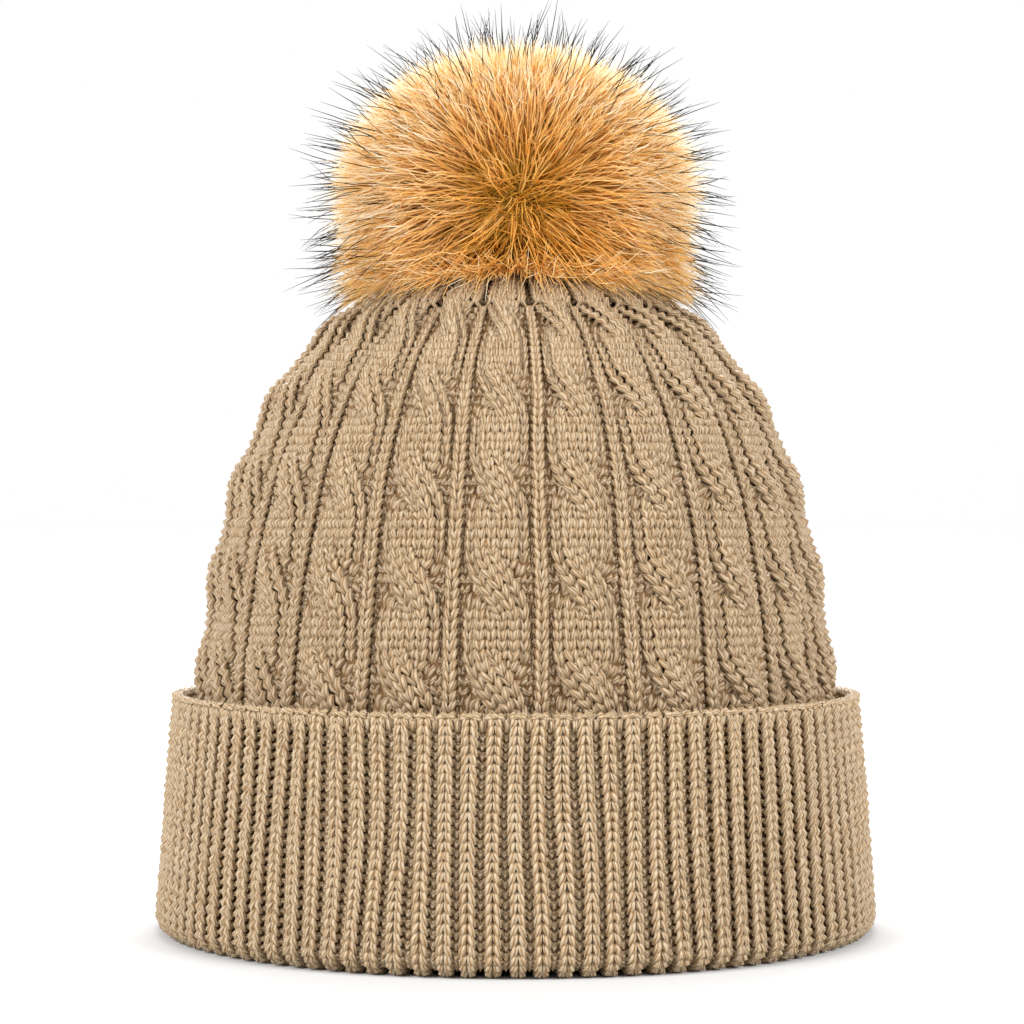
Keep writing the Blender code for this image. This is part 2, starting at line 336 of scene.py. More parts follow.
def maths(tree, operation, *values):
    """The result of a math node; each value is a number or another node's socket."""
    return add(tree, "ShaderNodeMath", dict(enumerate(values)), operation=operation).outputs[0]


def spread(tree, value, **ends):
    """A value mapped from one range to another: From_Min, From_Max, To_Min, To_Max."""
    inputs = {key.replace("_", " "): end for key, end in ends.items()}
    return add(tree, "ShaderNodeMapRange", {"Value": value, **inputs}).outputs[0]


def spots(tree, size, **inputs):
    """Noise through the object's own space, with spots of about the given size."""
    inputs = {"Vector": object_place(tree), "Scale": 1 / size, **inputs}
    return add(tree, "ShaderNodeTexNoise", inputs).outputs[0]


def bands(tree, size, direction, **inputs):
    """Soft bands through the object's own space."""
    inputs = {"Vector": object_place(tree), "Scale": 1 / size, **inputs}
    return add(tree, "ShaderNodeTexWave", inputs, bands_direction=direction).outputs["Fac"]


def coloured(tree, shader, value, colours):
    """Colour the shader from a ramp with (place, hex) stops."""
    ramp = add(tree, "ShaderNodeValToRGB", {"Fac": value})
    points = ramp.color_ramp.elements
    while len(points) < len(colours):
        points.new(0.5)
    for point, (place, code) in zip(points, colours):
        point.position = place
        point.color = linear(code)
    tree.links.new(ramp.outputs[0], shader.inputs["Base Color"])
    return ramp.outputs[0]


def bumped(tree, shader, value, strength, distance):
    """Raise the surface where a value is high."""
    bump = add(tree, "ShaderNodeBump", {"Height": value, "Strength": strength, "Distance": distance})
    tree.links.new(bump.outputs[0], shader.inputs["Normal"])


# Yarn colours with painted light: the low stop is painted shade in the grooves between the plies, and the
# pale top stop is partly a painted highlight along them
CUFF_SHADE_AND_HIGHLIGHT_TONES = ((0.15, "#5C3A19"), (0.32, "#8A6A41"), (0.52, "#AB9B82"))
CROWN_SHADE_AND_HIGHLIGHT_TONES = ((0.15, "#553517"), (0.32, "#82633C"), (0.52, "#A29178"))


def yarn_material(name, turns, length, tones):
    """Plied acrylic knitting yarn: six fine plies wind slowly around it, with fine fibres along them."""
    made, tree, shader = new_material(
        name, Roughness=0.5, Sheen_Weight=0.2, Sheen_Tint=linear("#E8CFA8"), Specular_IOR_Level=0.4
    )
    surface = add(tree, "ShaderNodeUVMap", uv_map="UVMap")
    along, around_it, _ = axes(tree, surface.outputs[0])
    height = axes(tree, object_place(tree))[2]
    # The twist is never quite even from one course to the next
    slack = spots(tree, 5 * MM, Detail=1.0)
    twist = maths(tree, "MULTIPLY", along, 2.0 * turns)
    wound = maths(tree, "MULTIPLY_ADD", around_it, 6.0, twist)
    phase = maths(tree, "MULTIPLY_ADD", slack, 1.5, wound)
    ply = maths(tree, "ABSOLUTE", maths(tree, "SINE", maths(tree, "MULTIPLY", phase, math.pi)))
    # Fibres: long thin streaks that follow the yarn, different in every course
    streak = {
        0: maths(tree, "MULTIPLY", along, length / (5 * MM)),
        1: maths(tree, "MULTIPLY", around_it, 22.0),
        2: maths(tree, "MULTIPLY", height, 1 / (3 * MM)),
    }
    streak_place = add(tree, "ShaderNodeCombineXYZ", streak).outputs[0]
    fibre = add(tree, "ShaderNodeTexNoise", {"Vector": streak_place, "Scale": 1.0, "Detail": 2.0}).outputs[0]
    # Painted shade: the ply grooves are darkened in colour, and the palest tone is partly a painted highlight
    tone_with_painted_shade = maths(tree, "MULTIPLY_ADD", fibre, 0.45, maths(tree, "MULTIPLY", ply, 0.28))
    coloured(tree, shader, tone_with_painted_shade, tones)
    bumped(tree, shader, tone_with_painted_shade, 0.7, 0.35 * MM)
    return made


def gap_shade_material():
    """A dark sheet of painted shade behind the knit, seen only through the gaps between loops."""
    made, tree, shader = new_material("knit_gap_painted_shade", Roughness=0.95)
    coloured(tree, shader, spots(tree, 1.4 * MM), ((0.3, "#553A1E"), (0.7, "#735634")))
    return made


def fur_material(name, colours):
    """Acrylic pile fibre whose colour follows the distance from the heart: darker towards the root, partly
    dye and partly painted shade deep in the pile.
    """
    made, tree, shader = new_material(name, Roughness=0.75, Specular_IOR_Level=0.12)
    centred = {0: object_place(tree), 1: tuple(POM_CENTRE)}
    x, y, z = axes(tree, add(tree, "ShaderNodeVectorMath", centred, operation="SUBTRACT").outputs[0])
    above = maths(tree, "MULTIPLY", z, POM_SIDE / POM_UP)
    below = maths(tree, "MULTIPLY", z, -POM_SIDE / POM_DOWN)
    evened = add(tree, "ShaderNodeCombineXYZ", {0: x, 1: y, 2: maths(tree, "MAXIMUM", above, below)})
    distance = add(tree, "ShaderNodeVectorMath", {0: evened.outputs[0]}, operation="LENGTH")
    reach = maths(tree, "MULTIPLY", distance.outputs["Value"], 1 / POM_SIDE)
    shift = spread(tree, spots(tree, 4 * MM, Detail=3.0), To_Min=-0.10, To_Max=0.10)
    # Painted shade: the skirt that lies on the crown under the pom is kept darker and golden to its tips
    skirt = spread(tree, z, From_Min=-28 * MM, From_Max=-10 * MM, To_Min=-0.14, To_Max=0.0)
    length = maths(tree, "ADD", reach, maths(tree, "ADD", shift, skirt))
    ramp = spread(tree, length, From_Max=FUR_SPAN)
    colour = coloured(tree, shader, ramp, [(at / FUR_SPAN, code) for at, code in colours])
    # Pale fibre lets light through, which is what makes the edges glow
    through = add(tree, "ShaderNodeBsdfTranslucent", {"Color": colour})
    both = add(tree, "ShaderNodeMixShader", {0: FUR_GLOW, 1: shader.outputs[0], 2: through.outputs[0]})
    tree.links.new(both.outputs[0], tree.nodes["Material Output"].inputs["Surface"])
    return made


def fleece_material():
    """Brushed polyester fleece: short soft pile in small clumps, with a pale sheen."""
    made, tree, shader = new_material(
        "brushed_polyester_fleece", Roughness=0.95, Sheen_Weight=0.5, Sheen_Roughness=0.5
    )
    clump = add(tree, "ShaderNodeTexVoronoi", {"Vector": object_place(tree), "Scale": 1 / (1.6 * MM)})
    pile = maths(tree, "MULTIPLY_ADD", clump.outputs["Distance"], -0.5, spots(tree, 0.7 * MM, Detail=3.0))
    coloured(tree, shader, pile, ((0.15, "#B9A283"), (0.75, "#E2D3B8")))
    bumped(tree, shader, pile, 0.7, 0.5 * MM)
    return made


def rib_knit_material():
    """1x1 rib seen from inside: rows of small V loops in the same yarn as the turn-up, with painted shade
    between the loops.
    """
    made, tree, shader = new_material("acrylic_rib_knit_inside", Roughness=0.75, Sheen_Weight=0.3)
    x, y, z = axes(tree, object_place(tree))
    wale = maths(tree, "MULTIPLY", maths(tree, "ARCTAN2", y, x), CUFF_RIBS / 2)
    lean = maths(tree, "ABSOLUTE", maths(tree, "SINE", wale))
    rows = maths(tree, "MULTIPLY", z, math.tau / (1.9 * MM))
    loops = maths(tree, "SINE", maths(tree, "MULTIPLY_ADD", lean, 2.6, rows))
    tone_with_painted_shade = spread(tree, loops, From_Min=-1.0)
    # Painted shade: the dark stop lies between the loops
    coloured(tree, shader, tone_with_painted_shade, ((0.0, "#493018"), (1.0, "#A08C6C")))
    bumped(tree, shader, tone_with_painted_shade, 0.8, 0.6 * MM)
    return made


def thread_material():
    """Three-ply sewing thread: a fine twist that winds along it."""
    made, tree, shader = new_material("plied_sewing_thread", Roughness=0.6, Sheen_Weight=0.2)
    twist = bands(tree, 2.4 * MM, "DIAGONAL", Distortion=1.5)
    coloured(tree, shader, twist, ((0.2, "#5C4224"), (0.8, "#94734A")))
    bumped(tree, shader, twist, 0.6, 0.15 * MM)
    return made


def satin_material():
    """Woven satin tape: long floats across it, with a soft shine along the weave."""
    made, tree, shader = new_material("woven_satin_tape", Roughness=0.38, Anisotropic=0.5, Sheen_Weight=0.2)
    weave = bands(tree, 1.6 * MM, "Z", Distortion=0.6, Detail=2.0)
    coloured(tree, shader, weave, ((0.1, "#D8D4CA"), (0.9, "#F3F0E8")))
    bumped(tree, shader, weave, 0.35, 0.1 * MM)
    return made


def felted_material(name, spot_size, colours, **shader_values):
    """Matted fibre, pressed or loose: its colour drifts between two tones and its face is slightly rough."""
    made, tree, shader = new_material(name, **shader_values)
    drift = spots(tree, spot_size, Detail=3.0)
    coloured(tree, shader, drift, colours)
    bumped(tree, shader, drift, 0.4, 0.3 * MM)
    return made


def metal_material(name, colours, spot_size):
    """Plated metal: fine handling marks vary its shine, and it is a little duller in places."""
    made, tree, shader = new_material(name, Metallic=1.0)
    wear = spots(tree, spot_size, Detail=5.0, Distortion=1.0)
    coloured(tree, shader, wear, colours)
    tree.links.new(spread(tree, wear, To_Min=0.18, To_Max=0.42), shader.inputs["Roughness"])
    bumped(tree, shader, wear, 0.15, 0.05 * MM)
    return made


def sweep_material():
    """White paper sweep with painted shade: greyer around the hat, where the lamps light it most, so its soft
    shadow can be seen.
    """
    made, tree, shader = new_material("white_sweep_painted_shade", Roughness=0.9, Specular_IOR_Level=0.1)
    reach = add(tree, "ShaderNodeVectorMath", {0: object_place(tree)}, operation="LENGTH")
    painted_shade_fade = add(
        tree,
        "ShaderNodeMapRange",
        {"Value": reach.outputs["Value"], "From Min": 0.15, "From Max": 1.4},
        interpolation_type="SMOOTHSTEP",
    )
    # Painted shade: grey near the hat, white far away
    coloured(tree, shader, painted_shade_fade.outputs[0], ((0.0, "#C2C2C2"), (1.0, "#FFFFFF")))
    return made


# ---------------------------------------------------------------- loops

KNIT_STEPS = np.array([-1.0, -0.74, -0.5, -0.26, 0.0, 0.26, 0.5, 0.74])
KNIT_THICK = np.array([0.66, 0.98, 1.26, 0.98, 0.66, 0.98, 1.26, 0.98])
PURL_STEPS = np.array([-1.0, -0.7, -0.36, 0.0, 0.36, 0.7])
PURL_THICK = np.array([0.9, 1.0, 1.3, 1.45, 1.3, 1.0])
PURL_LEAN = 0.13


def straight(centre, width, depth):
    """Where a wale stands that doesn't lean: see course()."""
    return centre, 0.0, width, depth, 0.0


def course(stitches, height, rise, loop_depth, lean, aspect):
    """One repeat of a course: shares of the repeat, heights in courses, depths and yarn thicknesses.

    stitches is a list of (kind, place) where place(level) gives the path's centre, the wale's offset
    from it, its width, its depth and the path's slope. A knit loop's legs stand in front of its head;
    a purl loop shows its head instead. aspect is one repeat's width in courses.
    """

    def spot(place, level, across, leaning=0.0):
        centre, offset, width, depth, slope = (value + 0 * level for value in place(level))
        turned_by = np.arctan(slope)
        lateral = offset + width * (across + leaning * np.hypot(1, slope))
        share = centre + lateral * np.cos(turned_by)
        return share, level - lateral * aspect * np.sin(turned_by), depth, np.hypot(1, slope)

    parts = []
    for k, (kind, place) in enumerate(stitches):
        knit = kind == "knit"
        steps = KNIT_STEPS if knit else PURL_STEPS
        sway = lean if knit else PURL_LEAN
        level = height + np.cos(math.pi * steps) * rise
        share, level_here, depth, stretch = spot(place, level, steps / 2, sway * np.sin(2 * math.pi * steps))
        out = np.cos(2 * math.pi * steps) * loop_depth * (-1 if knit else 1)
        last_kind, last_place = stitches[k - 1]
        last = spot(last_place, level[:1], 0.5)
        share[0] = (last[0][0] - (k == 0) + share[0]) / 2
        level_here[0] = (last[1][0] + level_here[0]) / 2
        depth[0] = (last[2][0] + depth[0]) / 2
        if last_kind != kind:
            out[0] = 0.0
        thick = (KNIT_THICK if knit else PURL_THICK) * stretch**0.35
        parts.append((share, level_here, depth + out, thick))
    return [np.concatenate(column) for column in zip(*parts)]


def around(parts, repeats):
    """Repeat a course around the hat: turns (0 to 1), heights, depths and thicknesses."""
    share, level, depth, thick = parts
    turn = (np.arange(repeats)[:, None] + share[None, :]) / repeats
    level, depth, thick = (np.tile(value, repeats) for value in (level, depth, thick))
    return turn.ravel(), level, depth, thick


def uneven(count, size):
    """Hand-made unevenness: noise that changes from loop to loop rather than from point to point."""
    noise = rng.normal(0.0, size, (3, count))
    return (noise + np.roll(noise, 1, axis=1) + np.roll(noise, -1, axis=1)) / 3


def wander(turn, level, size, waves):
    """Slow drift of the wales, so no rib is quite straight or evenly spaced."""
    drift = 0.0
    for count, rise, phase in waves:
        drift = drift + np.sin(math.tau * (count * turn + phase) + rise * level)
    return drift * size


def wave_set(counts):
    return [(count, rng.uniform(-0.25, 0.25), rng.random()) for count in counts]


# ---------------------------------------------------------------- cable-knit crown


def cable_courses(height, pleat, aspect):
    """The stitches of one repeat at a course: rib, purls, two strands of three, purls."""
    nearest = FIRST_CROSSING + CROSSING_COURSES * round((height - FIRST_CROSSING) / CROSSING_COURSES)
    below = height < nearest

    def strand(level, side):
        """The strand's centre in wales, and its slope in courses a course."""
        slant = FRONT_SLANT if side == "front" else BACK_SLANT
        past = np.clip((level - nearest) / slant, -1, 1)
        moved = 3 * ease((past + 1) / 2)
        steep = 3 * 0.75 * (1 - past * past) / slant * CABLE_WALE * aspect
        return (4 - moved, -steep) if side == "front" else (1 + moved, steep)

    def crossing_at(level):
        return hump((level - nearest) / (1.2 * FRONT_SLANT))

    def wale(side, index):
        def place(level):
            crossing = crossing_at(level)
            centre, slope = strand(level, side)
            spread = 1 + FRONT_SPREAD * crossing * (side == "front")
            offset = CABLE_WALE * (index - 1) * spread
            share = CABLE_START + CABLE_WALE * (centre + 0.5)
            lift = (FRONT_LIFT if side == "front" else BACK_LIFT) * crossing
            round_off = -(0.3 + 0.9 * crossing * (side == "front")) * MM * (index - 1) ** 2
            place_in_repeat = (share + offset - 0.5) / (0.5 - CABLE_START)
            bulge = -CABLE_ROUND * np.abs(place_in_repeat) ** 3
            bow = -pleat * (2 * (share + offset - 0.5)) ** 2
            return share, offset, CABLE_WALE * spread, lift + round_off + bulge + bow, slope

        return place

    def gaps(level):
        """How far the cable has drawn in from its left and right sides, in wales."""
        front, slope = strand(level, "front")
        back, back_slope = strand(level, "back")
        half = 1.5 * (1 + FRONT_SPREAD * crossing_at(level)) * np.hypot(1, slope)
        back_half = 1.5 * np.hypot(1, back_slope)
        low = np.minimum(front - half, back - back_half)
        high = np.maximum(front + half, back + back_half)
        return np.maximum(low + 0.5, 0), np.maximum(5.5 - high, 0)

    def purl(side, index):
        def place(level):
            left, right = gaps(level)
            gap = left if side == "left" else right
            width = (PURL_WIDTH + CABLE_WALE * gap) / 2
            middle = RIB_WIDTH / 2 + width * (index + 0.5)
            share = middle if side == "left" else 1 - middle
            shallow = 0.7 * MM * np.minimum(gap, 1)
            return straight(share, width, PURL_DEPTH + shallow - pleat * 0.85)

        return place

    def rib(level):
        return straight(0.0, RIB_WIDTH, -0.9 * MM - pleat)

    sides = ("back", "front") if below else ("front", "back")
    made = [("knit", rib), ("purl", purl("left", 0)), ("purl", purl("left", 1))]
    made += [("knit", wale(side, index)) for side in sides for index in range(3)]
    return made + [("purl", purl("right", 1)), ("purl", purl("right", 0))]


def plain_courses(knits, purl_share, pleat):
    """Fewer, plain stitches where the crown has been decreased: knits and one purl in the furrow."""
    width = (1 - purl_share) / knits

    def knit(index):
        centre = purl_share / 2 + width * (index + 0.5)
        bow = -pleat * (2 * (centre - 0.5)) ** 2
        return lambda level: straight(centre, width, bow)

    made = [("purl", lambda level: straight(0.0, purl_share, -1.2 * MM - pleat))]
    return made + [("knit", knit(index)) for index in range(knits)]


def pleat_depth(radius):
    """How deep the furrows between cables are: the gathered top folds what no longer fits."""
    return 1.7 * MM * ease((FULL_GIRTH - radius) / (40 * MM))


def make_crown():
    total = crown_line.length[-1]
    rows = int((total - CROWN_START) / CROWN_COURSE)
    waves = wave_set((3, 5, 8, 13))
    lines = []
    radii = []
    for row in range(rows):
        height = row + 0.5
        radius = float(crown_line.at(CROWN_START + height * CROWN_COURSE)[0])
        pleat = float(pleat_depth(radius))
        aspect = math.tau * radius / CABLE_REPEATS / CROWN_COURSE
        if radius > 45 * MM:
            stitches = cable_courses(height, pleat, aspect)
        elif radius > 25 * MM:
            stitches = plain_courses(4, 0.16, pleat)
        elif radius > 12 * MM:
            stitches = plain_courses(2, 0.2, pleat * 0.7)
        else:
            stitches = plain_courses(1, 0.3, pleat * 0.3)
        shrink = min(1.0, max(0.3, radius / FULL_GIRTH)) ** 0.25
        loop_depth = CROWN_LOOP_DEPTH * shrink
        parts = course(stitches, height, CROWN_LOOP_RISE / CROWN_COURSE, loop_depth, CROWN_LEAN, aspect)
        turn, level, depth, thick = around(parts, CABLE_REPEATS)
        rough = uneven(len(turn), ROUGHNESS)
        shift = wander(turn, level, 0.22 * MM, waves) + rough[0]
        angle = turn * math.tau + RIB_PHASE + shift / FULL_GIRTH
        s = np.clip(CROWN_START + level * CROWN_COURSE + rough[1], 0, total)
        depth = depth - CROWN_LOOP_DEPTH - CROWN_YARN - CROWN_SINK + rough[2]
        lines.append(on_hat(crown_line, angle, s, depth))
        radii.append(CROWN_YARN * YARN_SPREAD * shrink * thick)
    stitches_round = CABLE_REPEATS * 11
    yarn = yarn_material(
        "twisted_acrylic_yarn_crown", round(stitches_round * 0.8), stitches_round * 10 * MM, CROWN_SHADE_AND_HIGHLIGHT_TONES
    )
    return course_pieces("crown_courses", lines, radii, 9, yarn)


# Painted shade: a dark sheet behind the crown's loops, seen through the gaps between them
def make_crown_gap_shade(material):
    steps = np.linspace(2.6 * MM, crown_line.length[-1] - 8.5 * MM, 60)
    radius = crown_line.at(steps)[0]
    outer = crown_line.at(steps, -3.7 * MM - 0.4 * pleat_depth(radius))
    inner = crown_line.at(steps[::-1], -5.5 * MM)
    return turned("crown_gap_shade", [*zip(*outer), *zip(*inner)], material)


# ---------------------------------------------------------------- ribbed turn-up


def cuff_stitches():
    """One rib of the turn-up: a knit wale that stands out and a purl wale behind it."""

    def knit_share(level):
        return mix(0.60, 0.92, ease((RIM_LEVEL + 1.2 - level) / 1.2))

    def knit(level):
        return straight(0.0, knit_share(level), 0.0)

    def purl(level):
        share = 1 - knit_share(level)
        return straight(0.5, share, mix(-1.9 * MM, -0.3 * MM, ease((RIM_LEVEL + 2.0 - level) / 1.0)))

    return [("knit", knit), ("purl", purl)]


def cuff_length(level):
    """Length along the turn-up's profile at a course: the courses open up towards the fold."""
    share = level / CUFF_COURSES
    return cuff_line.length[-1] * (share + 0.10 * share * (share - 1))


def make_cuff():
    waves = wave_set((4, 7, 11, 19, 31))
    lines = []
    radii = []
    for row in range(CUFF_COURSES):
        height = row + 0.5
        lean = CUFF_LEAN - 0.36 * max(0.0, min(1.0, (RIM_LEVEL + 1.6 - height) / 1.4))
        parts = course(cuff_stitches(), height, CUFF_LOOP_RISE, CUFF_LOOP_DEPTH, lean, CUFF_ASPECT)
        turn, level, depth, thick = around(parts, CUFF_RIBS)
        rough = uneven(len(turn), ROUGHNESS)
        shift = wander(turn, level, CUFF_WANDER, waves) + rough[0]
        s = np.clip(cuff_length(level) + rough[1], 0, cuff_line.length[-1])
        sunk = RIM_SINK * ease((RIM_LEVEL + 2.5 - height) / 2.5)
        depth = depth - CUFF_LOOP_DEPTH - CUFF_YARN - sunk + rough[2]
        lines.append(on_hat(cuff_line, turn * math.tau + shift / cuff_high.x, s, depth))
        radii.append(CUFF_YARN * YARN_SPREAD * thick)
    yarn = yarn_material(
        "twisted_acrylic_yarn_rib", round(CUFF_RIBS * 1.7), CUFF_RIBS * 2 * 9 * MM, CUFF_SHADE_AND_HIGHLIGHT_TONES
    )
    return [*course_pieces("cuff_courses", lines, radii, 12, yarn), make_bind_off(waves, yarn)]


def make_bind_off(waves, yarn):
    """The cast-off edge: one chain of small sideways loops, one showing on each rib."""
    share = np.array([-0.5, -0.21, -0.11, 0.0, 0.11, 0.21])
    out = np.array([-3.2, -2.0, -0.2, 0.35, -0.2, -2.0]) * MM
    rise = np.array([0.0, 0.0, 0.0, -0.05, 0.0, 0.0])
    bead = np.array([0.5, 0.6, 0.9, 1.2, 0.9, 0.6])
    turn, level, depth, thick = around((share, RIM_LEVEL + 0.85 + rise, out, bead), CUFF_RIBS)
    angle = turn * math.tau + wander(turn, level, CUFF_WANDER, waves) / cuff_high.x
    points = on_hat(cuff_line, angle, cuff_length(level), depth - 0.6 * MM)
    return tubes("bind_off_chain", [points], [0.62 * MM * thick], 6, True, yarn)


def make_cuff_gap_shade(material):
    """A dark sheet of painted shade behind the turn-up's loops. It starts below the edge, whose arc is too
    tight for it.
    """
    steps = np.linspace(11.5 * MM, cuff_line.length[-1], 40)
    outer = cuff_line.at(steps, -3.1 * MM)
    inner = cuff_line.at(steps[::-1], -4.1 * MM)
    return turned("cuff_gap_shade", [*zip(*outer), *zip(*inner)], material)


# ---------------------------------------------------------------- band, lining and label


def shell(name, grid, closed, material):
    """A closed mesh over a grid of sections: each section is a closed loop, and the ends are capped."""
    count, size = grid.shape[:2]
    at = np.arange(count * size).reshape(count, size)
    ahead = np.roll(at, -1, axis=0)
    if not closed:
        ahead, at = ahead[:-1], at[:-1]
    quads = np.stack([at, ahead, np.roll(ahead, -1, axis=1), np.roll(at, -1, axis=1)], axis=-1).reshape(-1, 4)
    if not closed:
        half = np.arange(size // 2 - 1)
        cap = np.stack([half, half + 1, size - 2 - half, size - 1 - half], axis=-1)
        quads = np.concatenate([quads, cap, cap + (count - 1) * size])
    rough = bpy.data.meshes.new("rough")
    rough.from_pydata(grid.reshape(-1, 3).tolist(), [], quads.tolist())
    shape = bmesh.new()
    shape.from_mesh(rough)
    bpy.data.meshes.remove(rough)
    bmesh.ops.recalc_face_normals(shape, faces=shape.faces)
    return finished(name, shape, material)


def fleece_panel(name, outer, ply, start, sweep, steps, material):
    """A sewn fleece panel inside the hat: full in the middle, pinched along its seams and its edges."""
    outer = np.array(outer)
    slope = np.gradient(outer, axis=0)
    slope /= np.linalg.norm(slope, axis=1)[:, None]
    inward = np.stack([-slope[:, 1], slope[:, 0]], axis=1)
    share = np.linspace(-1, 1, len(outer))
    edge = 0.25 + 0.75 * (1 - np.abs(share) ** 14)
    sections = []
    for across in np.linspace(-1, 1, steps):
        seam = 0.3 + 0.7 * (1 - abs(across) ** 18)
        puff = 1 + 0.10 * math.sin(9 * across + start) * math.cos(5 * across)
        inner = outer + inward * (ply * edge * seam * puff)[:, None]
        loop = np.concatenate([outer, inner[::-1]])
        turn = math.radians(start + sweep * (across + 1) / 2)
        sections.append(np.c_[loop[:, 0] * math.cos(turn), loop[:, 0] * math.sin(turn), loop[:, 1]])
    return shell(name, np.array(sections), False, material)


def running_stitch(name, radius, height, count, thread, material):
    """Sewing thread that dips in and out of the cloth around a ring."""
    turn = np.linspace(0, math.tau, count * 8, endpoint=False)
    out = radius - np.clip(np.sin(turn * count) * 2.2, -1, 1) * 0.45 * MM
    points = np.stack([out * np.cos(turn), out * np.sin(turn), height + 0 * turn], axis=1)
    return tubes(name, [points], [thread], 6, True, material)


def make_band(material):
    """The 1x1 rib band behind the turn-up, ribbed on both faces."""
    levels = np.linspace(band_low.z, band_high.z - 3.4 * MM, 12)
    face = mix(band_high.x, BAND_TOP_RADIUS, (levels - band_low.z) / (band_high.z - band_low.z))
    sections = []
    for k in range(CUFF_RIBS * 6):
        rib = 0.5 * MM * math.cos(math.tau * k / 6)
        outer = np.c_[face - 0.5 * MM + rib, levels]
        inner = np.c_[face - 3.4 * MM + rib, levels]
        loop = np.concatenate([outer, inner[::-1]])
        turn = math.tau * k / (CUFF_RIBS * 6)
        sections.append(np.c_[loop[:, 0] * math.cos(turn), loop[:, 0] * math.sin(turn), loop[:, 1]])
    return shell("rib_band_knit", np.array(sections), True, material)


def inside_band(z):
    """Radius of the fleece's outer face where it lies against the band."""
    return mix(earband_high.x, INNER_TOP_RADIUS, (z - earband_low.z) / (earband_high.z - earband_low.z))


def make_earband(fleece):
    levels = np.linspace(earband_low.z, earband_high.z, 40)
    outer = np.c_[inside_band(levels), levels]
    return fleece_panel("earband_fleece", outer, 1.9 * MM, 90.3, 359.4, 240, fleece)


def make_gores(fleece):
    """Four gores of fleece that follow the inside of the knit up to the apex."""
    reach = np.linspace(11.0 * MM, crown_line.length[-1] - 9.0 * MM, 46)
    up = np.stack(crown_line.at(reach, -5.9 * MM), axis=1)
    foot = [(85.5 * MM, gore_low.z), (85.2 * MM, 47.5 * MM), (84.7 * MM, 51.5 * MM), (83.6 * MM, 56.5 * MM)]
    outer = np.concatenate([foot, up])
    made = {}
    for k, corner in enumerate(("back_right", "back_left", "front_left", "front_right")):
        made[corner] = fleece_panel(f"gore_{corner}", outer, 1.4 * MM, 90.0 * k + 0.3, 89.4, 64, fleece)
    return made


def make_disc(name, radius, low, high, hole, material):
    """A soft disc with a worn, rounded rim and a flat face."""
    edge = (high - low) / 2
    middle = (high + low) / 2
    rim = arc((radius - edge, middle), edge, -90, 90, 9)
    inner = [(mix(radius - edge, hole, k / 6), high) for k in range(1, 7)]
    return turned(name, rim + inner + [(r, low) for r, _ in reversed(inner)], material, steps=96)


def make_label(material):
    """Folded satin tape that hangs from its sewn top edge and curls a little at the free end."""
    across = np.linspace(label_low.x, label_high.x, 31)
    middle = (label_low.y + label_high.y) / 2
    half = (label_high.y - label_low.y) / 2
    sections = []
    for share in np.linspace(0, 1, 35):
        z = mix(label_high.z, label_low.z, share)
        curl = 1.1 * MM * share**2 - 0.4 * MM * np.sin(2.2 * math.pi * share) * share
        ripple = 0.25 * MM * share * np.cos(across * 260)
        thick = half * (0.75 if share < 0.97 else 1.0)
        y = middle + curl + ripple
        loop = np.concatenate([np.c_[across, y - thick], np.c_[across, y + thick][::-1]])
        sections.append(np.c_[loop, np.full(len(loop), z)])
    return shell("label_tape", np.array(sections), False, material)


def make_bartack(material):
    """A dense zigzag of thread over the label's top edge."""
    count = 40
    share = np.linspace(0, 1, count * 4)
    side = np.clip(np.sin(share * count * math.pi) * 1.6, -1, 1)
    x = mix(tack_low.x, tack_high.x, share)
    y = (tack_low.y + tack_high.y) / 2 + 0 * share
    z = mix(tack_low.z, tack_high.z, (side + 1) / 2)
    return tubes("bartack_stitches", [np.stack([x, y, z], axis=1)], [0.27 * MM], 6, False, material)


def make_ring_of_thread(name, low, high, ply, count, material):
    """Strong thread drawn tight through cloth: it waves up and down around its ring."""
    turn = np.linspace(0, math.tau, count * 8, endpoint=False)
    radius = high.x - ply - 0.15 * MM + 0.15 * MM * np.cos(turn * count)
    z = (low.z + high.z) / 2 + 0.25 * MM * np.sin(turn * count)
    points = np.stack([radius * np.cos(turn), radius * np.sin(turn), z], axis=1)
    return tubes(name, [points], [ply], 8, True, material)


# ---------------------------------------------------------------- fur


def crown_height(radius):
    """Height of the crown's surface at a radius."""
    r, z = crown_line.line.T
    return np.interp(radius, r[::-1], z[::-1])


def directions(count):
    """Even directions over a ball, shaken a little."""
    k = np.arange(count) + 0.5
    up = 1 - 2 * k / count
    turn = math.pi * (1 + 5**0.5) * k
    flat = np.sqrt(1 - up * up)
    made = np.stack([flat * np.cos(turn), flat * np.sin(turn), up], axis=1)
    made += rng.normal(0, 0.35 / math.sqrt(count) * 3, made.shape)
    return made / np.linalg.norm(made, axis=1)[:, None]


def pom_reach(way):
    """How far the dense pile reaches in a direction."""
    down = np.where(way[:, 2] > 0, POM_UP, POM_DOWN)
    flat = np.hypot(way[:, 0], way[:, 1])
    return 1 / np.sqrt((flat / POM_SIDE) ** 2 + (way[:, 2] / down) ** 2)


PARTINGS = (  # where the pile parts: direction, how far the tips lean away, how deep the dimple is
    ((0.03, -1.0, -0.13), 0.45, 0.28),
    ((0.35, 0.9, 0.05), 0.40, 0.18),
)


def comb(way):
    """Lean the tips away from each parting, and shorten the pile there."""
    aim = way.copy()
    reach = np.ones(len(way))
    for axis, lean, dimple in PARTINGS:
        axis = np.array(axis) / np.linalg.norm(axis)
        along = way @ axis
        side = way - along[:, None] * axis
        sine = np.linalg.norm(side, axis=1)
        angle = np.arctan2(sine, along)
        swing = lean * 3.2 * angle * np.exp(-((angle / 0.55) ** 2))
        aim += side / np.maximum(sine, 1e-6)[:, None] * swing[:, None]
        reach -= dimple * np.exp(-((angle / 0.42) ** 2))
    return aim / np.linalg.norm(aim, axis=1)[:, None], reach


